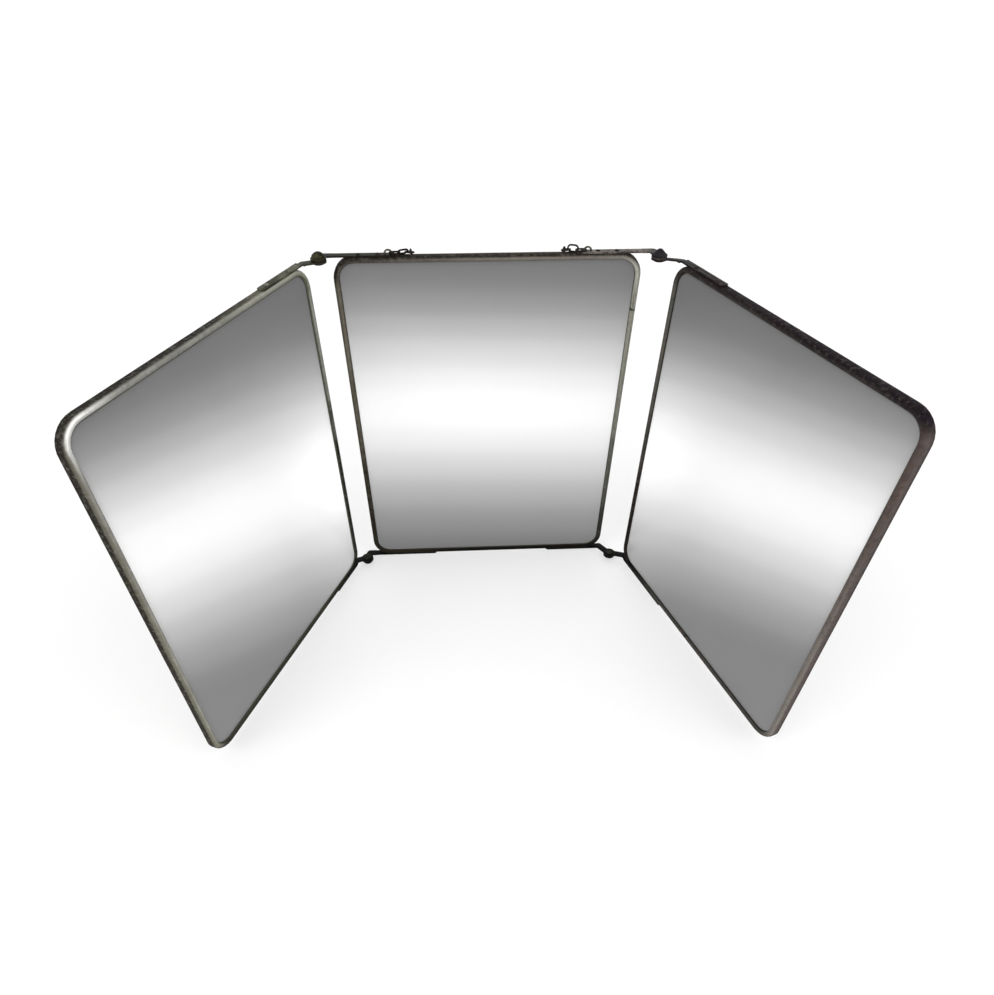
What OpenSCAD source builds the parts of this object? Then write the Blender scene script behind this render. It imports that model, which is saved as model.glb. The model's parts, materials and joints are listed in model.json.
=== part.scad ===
// Folding triptych mirror: three framed panels on four knob hinges, with a chain to hang it by.
// The origin is the middle of the centre panel's rear plane. The panels face -Y and stand up along Z.

/* [Panels] */
// Width of each panel over its frame
panel_w = 196; // [170:1:240]
// Height of each panel over its frame
panel_h = 252; // [200:1:320]
// Outer radius of the frame's bent corners
corner_r = 14; // [10:0.5:18]
// Width of the rolled bead round the glass
bead_w = 3.9; // [3.7:0.1:5]
// Thickness of the frame's sheet metal
sheet_t = 0.6; // [0.4:0.05:0.7]
// Width of the hem that holds the back plate
hem_w = 3.2; // [2:0.1:5]
// Width of the slot where a frame's two ends meet
seam_gap = 0.35; // [0.2:0.05:0.8]
// Height of the centre frame's seam above mid height
seam_z = 89; // [20:1:89]
// Thickness of the silvered glass
glass_t = 2.5; // [2.3:0.1:4]
// Distance from the frame's outer edge to the edge of the glass
glass_inset = 1.9; // [1.7:0.1:2.4]
// Thickness of the backing card
card_t = 0.5; // [0.3:0.05:1]
// Thickness of the sheet metal back plate
plate_t = 0.45; // [0.3:0.05:0.8]
// Gap between the layers that lie in a frame
layer_gap = 0.05; // [0.02:0.01:0.1]

/* [Wings] */
// How far the left wing stands folded forward from the centre panel's plane, in degrees
left_angle = 67.7; // [0:0.1:120]
// How far the right wing stands folded forward from the centre panel's plane, in degrees
right_angle = 71.8; // [0:0.1:120]
// Distance of the left pivot outside the frames' edges
left_out = 6.4; // [6:0.1:9]
// Distance of the left pivot in front of the frames
left_fwd = 3.9; // [3.5:0.1:5]
// Distance of the right pivot outside the frames' edges
right_out = 7.6; // [7.2:0.1:10]
// Gap between the two wings when both are folded flat
stack_gap = 0.8; // [0.5:0.1:3]

/* [Straps] */
// Width of a hinge strap
strap_w = 5.2; // [4:0.1:5.6]
// Thickness of a hinge strap
strap_t = 1; // [0.8:0.1:1.4]
// Distance of a strap's middle line behind the front of the frame
strap_y = 3.1; // [2.9:0.1:3.4]
// Width of a strap's bent arm
arm_w = 5.6; // [4:0.1:6]
// Width of the right wing's slim upper arm
slim_arm_w = 3; // [2.4:0.1:5]
// Radius of an eye
eye_r = 4.8; // [4:0.1:5.4]
// How far each of the centre panel's upper straps runs in from the panel's edge
centre_top_len = 40; // [38:1:60]
// How far the centre panel's lower left strap runs in from the panel's edge
centre_bottom_left_len = 53; // [36:1:80]
// How far the centre panel's lower right strap runs in from the panel's edge
centre_bottom_right_len = 47; // [36:1:80]
// How far the left wing's upper strap runs in from the panel's edge
left_top_len = 46; // [36:1:80]
// How far the left wing's lower strap runs in from the panel's edge
left_bottom_len = 37; // [36:1:80]
// How far the right wing's upper strap runs in from the panel's edge
right_top_len = 46; // [36:1:80]
// How far the right wing's lower strap runs in from the panel's edge
right_bottom_len = 61; // [36:1:80]

/* [Rivets] */
// Radius of a rivet's shank
rivet_r = 0.9; // [0.7:0.05:1]
// Radius of a rivet's round head
rivet_head_r = 1.5; // [1.3:0.05:2]
// Height of a rivet's round head
rivet_head_h = 0.8; // [0.5:0.05:1.2]
// Distance from the panel's edge to the first rivet of a strap
rivet_first = 17; // [16:0.5:22]
// Distance from a strap's inner end to its last rivet
rivet_last = 7; // [6:0.5:9]

/* [Pins and knobs] */
// Radius of a hinge pin
pin_r = 1.5; // [1.2:0.05:1.8]
// Radius of a hinge pin's head
pin_head_r = 3.2; // [2.6:0.1:4]
// Thickness of a hinge pin's head
pin_head_t = 0.8; // [0.6:0.1:1.4]
// Radius of a knob's flange
knob_r = 4.9; // [4.7:0.1:5.6]
// Thickness of a knob's flange
knob_flange_t = 0.9; // [0.6:0.1:1.4]
// Height of a knob
knob_h = 4.4; // [4.2:0.1:6]
// Radius at the foot of an acorn knob's cone
acorn_foot_r = 4.6; // [4:0.1:4.7]
// Radius of an acorn knob's tip
acorn_tip_r = 1.8; // [1.2:0.1:2.4]
// Radius of a round knob's dome
dome_r = 4.2; // [3.8:0.1:4.6]
// Depth of the hole in a knob
knob_hole_h = 2.8; // [2.2:0.1:3]

/* [Chain] */
// Radius of the chain's wire
wire_r = 0.55; // [0.45:0.05:0.65]
// Outside width of a link
link_w = 5; // [4.6:0.1:5.6]
// Outside length of a link
link_l = 7.6; // [7:0.1:10]
// Number of links in the free chain, an odd number
chain_links = 43; // [31:2:47]
// Distance of each staple's middle from its strap's inner end
staple_inset = 4.4; // [4.2:0.1:6]
// Radius of a staple's wire
staple_wire_r = 0.6; // [0.5:0.05:0.7]
// Distance between the middle lines of a staple's legs
staple_w = 4.4; // [4.2:0.1:5]
// Distance from a staple's outer leg to the next rivet
staple_rivet_gap = 4.4; // [3.6:0.1:5]

/* [Fits] */
// Radial clearance of a pin, rivet or staple in its hole
hole_gap = 0.05; // [0.03:0.01:0.1]
// Gap between the flat faces that turn on each other at a pin
face_gap = 0.05; // [0.03:0.01:0.2]
// Gap between one link and the next
link_gap = 0.2; // [0.1:0.05:0.3]

/* [Hidden] */
$fn = 48;

// Sides and ends that a strap, rivet or knob can be on
RIGHT = 1;
LEFT = -1;
TOP = 1;
BOTTOM = -1;

// Overrun of a cut past the face that it goes through
past = 1;

// Depths in a panel, measured back from the front of its bead
bead_r = bead_w / 2;
glass_y = bead_r + layer_gap;
card_y = glass_y + glass_t + layer_gap;
plate_y = card_y + card_t + layer_gap;
hem_y = plate_y + plate_t + layer_gap;
panel_d = hem_y + sheet_t;
// The card and the back plate reach almost to the frame's wall
back_inset = sheet_t + 4 * layer_gap;

// The right pivot stands further forward, because the right wing folds over the left one
right_fwd = left_fwd + (panel_d + stack_gap) / 2;

// Heights at a hinge, measured out from the edge of the panel
arm_drop = strap_t + face_gap;
pin_head_top = -arm_drop - face_gap;
knob_base = strap_t + face_gap;
// The wing's strap steps down between these distances in from the panel's edge
step_outer = 2.5;
step_inner = 4.5;
// Shift of the step's upper face that keeps the strap's thickness round the bend
step_shift = strap_t * tan(atan2(arm_drop, step_inner - step_outer) / 2);
strap_end_cut = 1.2;

// Rivets and staples end inside the frame, short of the glass
tail_reach = glass_inset - 0.3;
rivet_tail_r = 1.1;

// A link's middle line is two half circles joined by two straight legs
link_r = link_w / 2 - wire_r;
link_leg = link_l - link_w;
link_reach = link_l - 2 * wire_r;
link_overlap = 2 * wire_r + link_gap;
link_pitch = link_reach - link_overlap;

// The links that lie on the top edge, on the right side: directions and end points
// measured from the panel's middle, the front of the bead and the top edge
function heading(turn, dip) = [-cos(turn) * cos(dip), sin(turn) * cos(dip), -sin(dip)];
lying_turn = 0;
standing_turn = 20;
hook_turn = 60;
hook_dip = 15;
lying_z = strap_t + wire_r + link_gap / 2;
staple_u = staple_inset - centre_top_len;
lying_start = [panel_w / 2 + staple_u - staple_w / 2 + staple_wire_r + wire_r + link_gap, strap_y, lying_z];
lying_end = lying_start + link_reach * heading(lying_turn, 0);
function standing_z(roll) = wire_r + layer_gap + link_r * sin(roll);
function standing_start(roll) =
    [lying_end.x, lying_end.y, standing_z(roll)] - link_overlap * heading(standing_turn, 0);
standing_end = standing_start(0) + link_reach * heading(standing_turn, 0);
hook_start = [standing_end.x, standing_end.y, lying_z - link_overlap * sin(hook_dip)]
    - link_overlap * heading(hook_turn, hook_dip);
left_roll = 50;
right_roll = 90;

// The free chain hangs on the rearmost point of each hook link's bend
hook_bend = hook_start + (link_reach - link_r) * heading(hook_turn, hook_dip);
hook_side = atan2(cos(hook_turn), sin(hook_turn) * cos(hook_dip));
swing_point = hook_bend + link_r * (cos(hook_side) * heading(hook_turn, hook_dip)
    + sin(hook_side) * [sin(hook_turn), cos(hook_turn), 0]);

// The free chain hangs in a catenary between the two swing points
half_span = swing_point.x;
half_chain = chain_links * link_pitch / 2;
function arsinh(v) = ln(v + sqrt(v * v + 1));
function solve_sag(low, high, turns) = turns == 0 ? low :
    let (mid = (low + high) / 2)
    mid * arsinh(half_chain / mid) > half_span
        ? solve_sag(low, mid, turns - 1) : solve_sag(mid, high, turns - 1);
sag = solve_sag(0.1, half_chain, 40);
function sag_height(s) = sqrt(sag * sag + s * s) - sqrt(sag * sag + half_chain * half_chain);
chain_points = [for (i = [0 : chain_links])
    let (s = -half_chain + i * link_pitch)
    [sag * arsinh(s / sag), 0, sag_height(s)]];

// Puts a shape drawn flat, with its depth along Z from the panel's front, into the panel
module in_panel() {
    translate([0, -panel_d, 0]) rotate([-90, 0, 0]) children();
}

// Puts a shape drawn at a panel's upper right corner at any corner of it
module at_corner(side, end) {
    translate([side * panel_w / 2, -panel_d, end * panel_h / 2])
        mirror([1 - side, 0, 0]) mirror([0, 0, 1 - end]) children();
}

// Puts the left wing's parts, drawn as a panel at the origin, on the left pivot
module on_left_wing() {
    pivot = [-panel_w / 2 - left_out, -panel_d - left_fwd, 0];
    translate(pivot) rotate([0, 0, left_angle]) translate([pivot.x, -pivot.y, 0]) children();
}

// Puts the right wing's parts, drawn as a panel at the origin, on the right pivot
module on_right_wing() {
    pivot = [panel_w / 2 + right_out, -panel_d - right_fwd, 0];
    translate(pivot) rotate([0, 0, -right_angle]) translate([pivot.x, -pivot.y, 0]) children();
}

module rounded_plate(inset, thickness) {
    w = panel_w - 2 * inset;
    h = panel_h - 2 * inset;
    r = corner_r - inset;
    linear_extrude(thickness) {
        square([w - 2 * r, h], center = true);
        square([w, h - 2 * r], center = true);
        for (x = [-1, 1], y = [-1, 1])
            translate([x * (w / 2 - r), y * (h / 2 - r)]) circle(r);
    }
}

// The frame's section: X runs in from the outer edge, Y runs back from the front
module frame_section() {
    intersection() {
        translate([bead_r, bead_r]) difference() {
            circle(bead_r);
            circle(bead_r - sheet_t);
        }
        square([bead_w, bead_r]);
    }
    translate([0, bead_r]) square([sheet_t, panel_d - bead_r]);
    translate([0, hem_y]) square([hem_w, sheet_t]);
}

module frame_side(reach, length) {
    straight = length - 2 * corner_r;
    translate([reach, straight / 2, 0]) rotate([90, 0, 0])
        linear_extrude(straight) mirror([1, 0]) frame_section();
    translate([reach - corner_r, straight / 2, 0])
        rotate_extrude(angle = 90) translate([corner_r, 0]) mirror([1, 0]) frame_section();
}

module bent_frame() {
    in_panel() {
        frame_side(panel_w / 2, panel_h);
        rotate(90) frame_side(panel_h / 2, panel_w);
        rotate(180) frame_side(panel_w / 2, panel_h);
        rotate(270) frame_side(panel_h / 2, panel_w);
    }
}

function rivet_spots(len) = [rivet_first, len - rivet_last];
// An upper centre strap's inner end holds the staple, so its second rivet stands further out
staple_strap_rivets = [rivet_first, -staple_u - staple_w / 2 - staple_rivet_gap];

module rivet_holes(side, end, spots) {
    at_corner(side, end) for (spot = spots)
        translate([-spot, strap_y, -sheet_t - past]) cylinder(r = rivet_r + hole_gap, h = sheet_t + 2 * past);
}

module staple_holes(side) {
    at_corner(side, TOP) for (leg = [-1, 1])
        translate([staple_u + leg * staple_w / 2, strap_y, -sheet_t - past])
            cylinder(r = staple_wire_r + hole_gap, h = strap_t + sheet_t + 2 * past);
}

module rivet() {
    cap_r = (rivet_head_r * rivet_head_r + rivet_head_h * rivet_head_h) / (2 * rivet_head_h);
    rotate_extrude() {
        translate([0, strap_t]) intersection() {
            translate([0, rivet_head_h - cap_r]) circle(cap_r);
            square([rivet_head_r, rivet_head_h]);
        }
        translate([0, -sheet_t]) square([rivet_r, strap_t + sheet_t]);
        translate([0, -tail_reach]) square([rivet_tail_r, tail_reach - sheet_t]);
    }
}

module rivets(side, end, spots) {
    at_corner(side, end) for (spot = spots) translate([-spot, strap_y, 0]) rivet();
}

// A bar between two points of a strap's plan, round at both ends
module bar(from, to, width) {
    along = to - from;
    translate(from) rotate(atan2(along.y, along.x)) translate([0, -width / 2])
        square([norm(along), width]);
    translate(from) circle(width / 2);
    translate(to) circle(width / 2);
}

// A strap seen from above: X runs out past the panel's edge, Y runs back from the front
module strap_plan(len, route, width, spots) {
    pivot = route[len(route) - 1];
    difference() {
        union() {
            translate([0, strap_y]) polygon([
                [route[0].x, -strap_w / 2],
                [route[0].x, strap_w / 2],
                [strap_end_cut - len, strap_w / 2],
                [-len, strap_w / 2 - strap_end_cut],
                [-len, strap_end_cut - strap_w / 2],
                [strap_end_cut - len, -strap_w / 2]
            ]);
            for (i = [1 : len(route) - 1]) bar(route[i - 1], route[i], width);
            translate(pivot) circle(eye_r);
        }
        translate(pivot) circle(pin_r + hole_gap);
        for (spot = spots) translate([-spot, strap_y]) circle(rivet_r + hole_gap);
    }
}

module flat_strap(len, route, width, spots) {
    linear_extrude(strap_t) strap_plan(len, route, width, spots);
}

// A wing's strap steps down past the corner, so that its eye lies inside the centre one's
module stepped_strap(len, route, width, spots) {
    far = right_out + 2 * eye_r;
    across = 8 * eye_r;
    intersection() {
        translate([0, 0, -arm_drop - past])
            linear_extrude(strap_t + arm_drop + 2 * past) strap_plan(len, route, width, spots);
        translate([0, across / 2, 0]) rotate([90, 0, 0]) linear_extrude(across) polygon([
            [-len - past, 0],
            [-step_inner, 0],
            [-step_outer, -arm_drop],
            [far, -arm_drop],
            [far, strap_t - arm_drop],
            [step_shift - step_outer, strap_t - arm_drop],
            [step_shift - step_inner, strap_t],
            [-len - past, strap_t]
        ]);
    }
}

// Arm routes from the strap's middle line to the pivot
left_pivot = [left_out, -left_fwd];
right_pivot = [right_out, -right_fwd];
strap_corner = [0, strap_y];
// The upper arms of the centre panel leave straight and turn forward at an elbow, just short of the pivot
elbow_in = 1.8;
left_elbow = [left_out - elbow_in, strap_y];
right_elbow = [right_out - elbow_in, strap_y];

module hinge_pin() {
    bottom = pin_head_top - pin_head_t;
    top = knob_base + knob_hole_h - face_gap;
    translate([0, 0, bottom]) cylinder(r = pin_head_r, h = pin_head_t);
    translate([0, 0, bottom]) cylinder(r = pin_r, h = top - bottom);
}

knob_edge_cut = 0.25;
module knob_flange() {
    polygon([
        [0, 0],
        [knob_r - knob_edge_cut, 0],
        [knob_r, knob_edge_cut],
        [knob_r, knob_flange_t - knob_edge_cut],
        [knob_r - knob_edge_cut, knob_flange_t],
        [0, knob_flange_t]
    ]);
}

module knob_hole() {
    translate([0, 0, -past]) cylinder(r = pin_r + hole_gap, h = knob_hole_h + past);
}

// Where the cone's side meets the round tip of an acorn knob
tip_z = knob_h - acorn_tip_r;
foot = [acorn_foot_r, knob_flange_t - tip_z];
foot_sq = foot * foot;
tip_touch = foot * acorn_tip_r * acorn_tip_r / foot_sq
    + [-foot.y, foot.x] * acorn_tip_r * sqrt(foot_sq - acorn_tip_r * acorn_tip_r) / foot_sq;

module acorn_knob() {
    difference() {
        rotate_extrude() {
            knob_flange();
            translate([0, tip_z]) {
                polygon([[0, foot.y], foot, tip_touch, [0, tip_touch.y]]);
                intersection() {
                    circle(acorn_tip_r);
                    translate([0, -acorn_tip_r]) square([acorn_tip_r, 2 * acorn_tip_r]);
                }
            }
        }
        knob_hole();
    }
}

module round_knob() {
    difference() {
        rotate_extrude() {
            knob_flange();
            intersection() {
                translate([0, knob_h - dome_r]) circle(dome_r);
                square([dome_r, knob_h]);
            }
        }
        knob_hole();
    }
}

module at_pivot(side, end, pivot) {
    at_corner(side, end) translate([pivot.x, pivot.y, 0]) children();
}

module at_knob(side, end, pivot) {
    at_pivot(side, end, pivot) translate([0, 0, knob_base]) children();
}

// A link lies along X, flat in the XY plane
module link() {
    for (end = [-1, 1]) {
        translate([end * link_leg / 2, 0, 0]) rotate([0, 0, -90 * end])
            rotate_extrude(angle = 180) translate([link_r, 0]) circle(wire_r, $fn = 24);
        translate([-link_leg / 2, end * link_r, 0]) rotate([0, 90, 0])
            cylinder(r = wire_r, h = link_leg, $fn = 24);
    }
}

// A link between the middle lines of its two ends, turned about its own length by roll
module link_from(start, turn, dip, roll) {
    translate(start) rotate([0, 0, 180 - turn]) rotate([0, dip, 0]) rotate([roll, 0, 0])
        translate([link_reach / 2, 0, 0]) link();
}

module end_links(side, roll) {
    translate([0, -panel_d, panel_h / 2]) mirror([1 - side, 0, 0]) {
        link_from(lying_start, lying_turn, 0, 0);
        link_from(standing_start(roll), standing_turn, 0, roll);
        link_from(hook_start, hook_turn, hook_dip, 0);
    }
}

module staple(side) {
    arch_r = staple_w / 2;
    arch_z = lying_z + wire_r + link_gap - arch_r / 2;
    at_corner(side, TOP) translate([staple_u, strap_y, 0]) {
        for (leg = [-1, 1]) translate([leg * arch_r, 0, -tail_reach])
            cylinder(r = staple_wire_r, h = tail_reach + arch_z);
        translate([0, 0, arch_z]) rotate([90, 0, 0])
            rotate_extrude(angle = 180) translate([arch_r, 0]) circle(staple_wire_r);
    }
}

module centre_frame() {
    color("#4a4840") difference() {
        bent_frame();
        for (side = [LEFT, RIGHT]) {
            rivet_holes(side, TOP, staple_strap_rivets);
            staple_holes(side);
        }
        rivet_holes(LEFT, BOTTOM, rivet_spots(centre_bottom_left_len));
        rivet_holes(RIGHT, BOTTOM, rivet_spots(centre_bottom_right_len));
        translate([panel_w / 2 - hem_w - past, -panel_d - past, seam_z])
            cube([hem_w + 2 * past, panel_d + 2 * past, seam_gap]);
    }
}

// A wing's frame has its seam in the middle of the bottom side
module wing_frame(side, top_len, bottom_len) {
    difference() {
        bent_frame();
        rivet_holes(side, TOP, rivet_spots(top_len));
        rivet_holes(side, BOTTOM, rivet_spots(bottom_len));
        translate([-seam_gap / 2, -panel_d - past, -panel_h / 2 - past])
            cube([seam_gap, panel_d + 2 * past, hem_w + 2 * past]);
    }
}

module mirror_glass() {
    in_panel() translate([0, 0, glass_y]) rounded_plate(glass_inset, glass_t);
}

module backing_card() {
    in_panel() translate([0, 0, card_y]) rounded_plate(back_inset, card_t);
}

module back_plate() {
    in_panel() translate([0, 0, plate_y]) rounded_plate(back_inset, plate_t);
}

module centre_mirror() { color("#c9cdd0") mirror_glass(); }

module centre_backing_card() { color("#8a7a5c") backing_card(); }

module centre_back_plate() { color("#5b5a55") back_plate(); }

module centre_top_strap(side, route) {
    spots = staple_strap_rivets;
    color("#57554c") difference() {
        at_corner(side, TOP) flat_strap(centre_top_len, route, arm_w, spots);
        staple_holes(side);
    }
}

module centre_strap_top_left() { centre_top_strap(LEFT, [strap_corner, left_elbow, left_pivot]); }

module centre_strap_top_right() { centre_top_strap(RIGHT, [strap_corner, right_elbow, right_pivot]); }

module centre_strap_bottom_left() {
    len = centre_bottom_left_len;
    color("#3c3a34") at_corner(LEFT, BOTTOM)
        flat_strap(len, [strap_corner, left_elbow, left_pivot], arm_w, rivet_spots(len));
}

module centre_strap_bottom_right() {
    len = centre_bottom_right_len;
    color("#3c3a34") at_corner(RIGHT, BOTTOM)
        flat_strap(len, [strap_corner, right_pivot], arm_w, rivet_spots(len));
}

module centre_rivets() {
    color("#8d8a80") {
        for (side = [LEFT, RIGHT]) rivets(side, TOP, staple_strap_rivets);
        rivets(LEFT, BOTTOM, rivet_spots(centre_bottom_left_len));
        rivets(RIGHT, BOTTOM, rivet_spots(centre_bottom_right_len));
    }
}

module chain_staple_left() { color("#a09c90") staple(LEFT); }

module chain_staple_right() { color("#a09c90") staple(RIGHT); }

module chain_end_links() {
    color("#2e2b28") {
        end_links(LEFT, left_roll);
        end_links(RIGHT, right_roll);
    }
}

// Odd links lie across the chain's plane, so that both end links hook over the hook links
module suspension_chain() {
    hang_z = link_overlap / 2;
    color("#2e2b28")
        translate([0, swing_point.y - panel_d, panel_h / 2 + swing_point.z + hang_z])
            for (i = [1 : chain_links]) {
                from = chain_points[i - 1];
                along = chain_points[i] - from;
                translate(from + along / 2) rotate([0, -atan2(along.z, along.x), 0])
                    rotate([i % 2 == 0 ? 90 : 0, 0, 0]) link();
            }
}

module left_frame() { color("#8f8e7c") on_left_wing() wing_frame(RIGHT, left_top_len, left_bottom_len); }

module left_mirror() { color("#c9cdd0") on_left_wing() mirror_glass(); }

module left_backing_card() { color("#8a7a5c") on_left_wing() backing_card(); }

module left_back_plate() { color("#5b5a55") on_left_wing() back_plate(); }

module left_strap_top() {
    color("#5a5a4c") on_left_wing() at_corner(RIGHT, TOP)
        stepped_strap(left_top_len, [strap_corner, left_pivot], arm_w, rivet_spots(left_top_len));
}

module left_strap_bottom() {
    color("#3c3a34") on_left_wing() at_corner(RIGHT, BOTTOM)
        stepped_strap(left_bottom_len, [strap_corner, left_pivot], arm_w, rivet_spots(left_bottom_len));
}

module left_rivets() {
    color("#a5a296") on_left_wing() {
        rivets(RIGHT, TOP, rivet_spots(left_top_len));
        rivets(RIGHT, BOTTOM, rivet_spots(left_bottom_len));
    }
}

module right_frame() { color("#5d5a50") on_right_wing() wing_frame(LEFT, right_top_len, right_bottom_len); }

module right_mirror() { color("#c9cdd0") on_right_wing() mirror_glass(); }

module right_backing_card() { color("#8a7a5c") on_right_wing() backing_card(); }

module right_back_plate() { color("#5b5a55") on_right_wing() back_plate(); }

module right_strap_top() {
    color("#33312c") on_right_wing() at_corner(LEFT, TOP)
        stepped_strap(right_top_len, [strap_corner, right_pivot], slim_arm_w, rivet_spots(right_top_len));
}

module right_strap_bottom() {
    color("#33312c") on_right_wing() at_corner(LEFT, BOTTOM)
        stepped_strap(right_bottom_len, [strap_corner, right_pivot], arm_w, rivet_spots(right_bottom_len));
}

module right_rivets() {
    color("#8d8a80") on_right_wing() {
        rivets(LEFT, TOP, rivet_spots(right_top_len));
        rivets(LEFT, BOTTOM, rivet_spots(right_bottom_len));
    }
}

module pin_top_left() { color("#6b675c") at_pivot(LEFT, TOP, left_pivot) hinge_pin(); }

module pin_bottom_left() { color("#6b675c") at_pivot(LEFT, BOTTOM, left_pivot) hinge_pin(); }

module pin_top_right() { color("#6b675c") at_pivot(RIGHT, TOP, right_pivot) hinge_pin(); }

module pin_bottom_right() { color("#6b675c") at_pivot(RIGHT, BOTTOM, right_pivot) hinge_pin(); }

module knob_top_left() { color("#33322a") at_knob(LEFT, TOP, left_pivot) round_knob(); }

module knob_bottom_left() { color("#33322a") at_knob(LEFT, BOTTOM, left_pivot) round_knob(); }

module knob_top_right() { color("#3a3938") at_knob(RIGHT, TOP, right_pivot) acorn_knob(); }

module knob_bottom_right() { color("#3a3938") at_knob(RIGHT, BOTTOM, right_pivot) acorn_knob(); }

centre_frame();
centre_mirror();
centre_backing_card();
centre_back_plate();
centre_strap_top_left();
centre_strap_top_right();
centre_strap_bottom_left();
centre_strap_bottom_right();
centre_rivets();
chain_staple_left();
chain_staple_right();
chain_end_links();
suspension_chain();
left_frame();
left_mirror();
left_backing_card();
left_back_plate();
left_strap_top();
left_strap_bottom();
left_rivets();
right_frame();
right_mirror();
right_backing_card();
right_back_plate();
right_strap_top();
right_strap_bottom();
right_rivets();
pin_top_left();
pin_bottom_left();
pin_top_right();
pin_bottom_right();
knob_top_left();
knob_bottom_left();
knob_top_right();
knob_bottom_right();
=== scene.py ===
import bpy
import bmesh
import json
import math
from mathutils import Matrix, Vector, noise

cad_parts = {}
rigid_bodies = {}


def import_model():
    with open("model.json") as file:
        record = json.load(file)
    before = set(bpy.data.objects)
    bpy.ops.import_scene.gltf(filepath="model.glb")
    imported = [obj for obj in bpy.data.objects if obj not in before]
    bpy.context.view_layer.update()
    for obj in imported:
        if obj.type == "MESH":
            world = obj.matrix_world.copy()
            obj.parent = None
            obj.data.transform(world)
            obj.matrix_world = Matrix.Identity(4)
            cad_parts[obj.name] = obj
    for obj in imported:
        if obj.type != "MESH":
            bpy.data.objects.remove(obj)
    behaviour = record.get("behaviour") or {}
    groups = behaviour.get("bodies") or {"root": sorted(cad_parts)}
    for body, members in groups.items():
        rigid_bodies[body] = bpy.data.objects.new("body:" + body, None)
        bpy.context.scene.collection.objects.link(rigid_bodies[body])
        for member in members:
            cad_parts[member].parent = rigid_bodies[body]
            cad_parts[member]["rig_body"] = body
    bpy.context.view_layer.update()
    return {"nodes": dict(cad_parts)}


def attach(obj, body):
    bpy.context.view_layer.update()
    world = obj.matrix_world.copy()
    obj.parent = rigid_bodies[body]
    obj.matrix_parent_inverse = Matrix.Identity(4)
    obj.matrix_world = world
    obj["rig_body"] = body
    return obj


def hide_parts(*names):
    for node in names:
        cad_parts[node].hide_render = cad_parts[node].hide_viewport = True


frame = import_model()
nodes = frame["nodes"]
mm = 0.001
print("frame loaded:", len(nodes), "nodes")


# Node trees

class Wire:
    # one output socket, with the arithmetic that the finishes and the trees use
    def __init__(self, graph, socket):
        self.graph = graph
        self.socket = socket

    def other(self, name):
        return Wire(self.graph, self.socket.node.outputs[name])

    def __add__(self, value):
        return self.graph.math("ADD", self, value)

    def __radd__(self, value):
        return self.graph.math("ADD", value, self)

    def __sub__(self, value):
        return self.graph.math("SUBTRACT", self, value)

    def __rsub__(self, value):
        return self.graph.math("SUBTRACT", value, self)

    def __mul__(self, value):
        return self.graph.math("MULTIPLY", self, value)

    def __rmul__(self, value):
        return self.graph.math("MULTIPLY", value, self)

    def __truediv__(self, value):
        return self.graph.math("DIVIDE", self, value)

    def __rtruediv__(self, value):
        return self.graph.math("DIVIDE", value, self)

    def __pow__(self, value):
        return self.graph.math("POWER", self, value)

    def __rpow__(self, value):
        return self.graph.math("POWER", value, self)

    def __neg__(self):
        return self.graph.math("MULTIPLY", self, -1.0)

    def clamped(self):
        return self.graph.math("ADD", self, 0.0, clamp=True)

    def most(self, value):
        return self.graph.math("MAXIMUM", self, value)

    def fade(self, low, high):
        # 0 below low, 1 above high, and smooth between them
        return self.graph.node("ShaderNodeMapRange", {"interpolation_type": "SMOOTHSTEP"},
                               {0: self, 1: low, 2: high})


class Graph:
    # a node tree of any kind
    def __init__(self, tree):
        self.tree = tree

    def node(self, kind, settings=None, inputs=None, output=0):
        # adds a node: first its settings, then the values or the links of its inputs
        made = self.tree.nodes.new(kind)
        for name, value in (settings or {}).items():
            if name == "stops":
                fillRamp(made.color_ramp, value)
            else:
                setattr(made, name, value)
        for key, value in (inputs or {}).items():
            if isinstance(value, Wire):
                self.tree.links.new(value.socket, made.inputs[key])
            else:
                made.inputs[key].default_value = value
        return Wire(self, made.outputs[output]) if made.outputs else None

    def math(self, operation, first, second, clamp=False):
        settings = {"operation": operation, "use_clamp": clamp}
        return self.node("ShaderNodeMath", settings, {0: first, 1: second})

    def vector(self, operation, first, second):
        key = "Scale" if operation == "SCALE" else 1
        return self.node("ShaderNodeVectorMath", {"operation": operation}, {0: first, key: second})


def fillRamp(ramp, stops):
    # stops are places from 0 to 1 with the grey at each
    while len(ramp.elements) < len(stops):
        ramp.elements.new(0.5)
    for element, (place, grey) in zip(ramp.elements, stops):
        element.position = place
        element.color = (grey, grey, grey, 1)


def linear(level):
    # a grey level from 0 to 255 as the light that it stands for
    share = level / 255
    return share / 12.92 if share <= 0.04045 else ((share + 0.055) / 1.055) ** 2.4


def shade(red, green, blue):
    return (linear(red), linear(green), linear(blue), 1)


def newFinish(name):
    made = bpy.data.materials.new(name)
    made.use_nodes = True
    made.node_tree.nodes.clear()
    return made, Graph(made.node_tree)


def addObject(name, data):
    made = bpy.data.objects.new(name, data)
    bpy.context.scene.collection.objects.link(made)
    return made


# Camera, floor and light

camera = {
    "place": (-0.021246, -0.433945, 0.275871),
    "focalPixels": 670.2,
    "axisPixel": (488.8, 542.4),
    # angles in radians
    "down": 0.7407,
    "turn": 0.0513,
    "roll": 0.0032,
    "image": (994, 995),
    "sensor": 36,
    "nearest": 0.01,
}


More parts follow.
